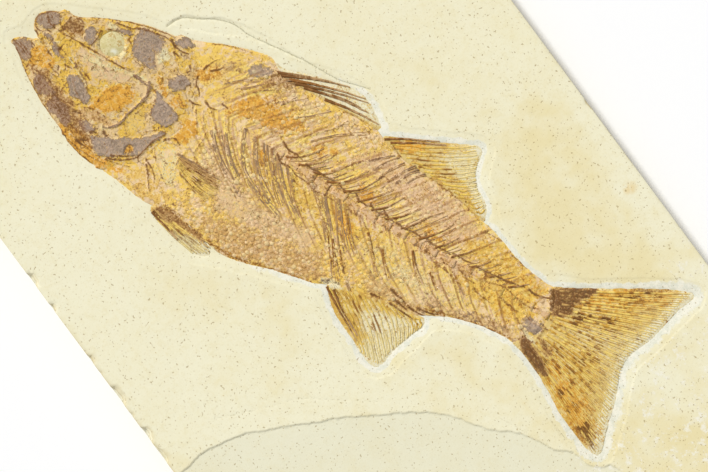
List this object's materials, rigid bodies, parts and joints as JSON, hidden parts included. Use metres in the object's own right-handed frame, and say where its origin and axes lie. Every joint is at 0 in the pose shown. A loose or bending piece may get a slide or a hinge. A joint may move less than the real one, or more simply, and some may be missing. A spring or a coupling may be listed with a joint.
{
  "type": "fossil fish slab",
  "caption": "Flat sawn limestone slab holding a whole flattened fossil fish with open jaws, ribs, fins and forked tail in a shallow prepared hollow.",
  "frame": {"origin": "centre of the slab's back face, on the surface it rests on", "axes": "+X along the slab's long sawn sides towards the fish's tail, +Y across the slab towards the fish's back, +Z out of the fossil face"},
  "size_m": [0.366, 0.232, 0.0137],
  "materials": {
    "limestone": "matt, fine grained, pale cream",
    "bone": "satin, brown to grey-violet mineralised bone",
    "skin": "matt to satin, ochre and orange mineral film with fine scales",
    "fin_rays": "satin, golden rays in a thin pale web"
  },
  "bodies": {
    "root": {"limestone_slab": "limestone", "skull": "bone", "upper_jaw": "bone", "lower_jaw": "bone", "gill_cover": "bone", "trunk": "skin", "backbone": "bone", "spiny_dorsal_fin": "fin_rays", "soft_dorsal_fin": "fin_rays", "anal_fin": "fin_rays", "pectoral_fin": "fin_rays", "pelvic_fin": "fin_rays", "tail_fin": "fin_rays"}
  },
  "joints": []
}
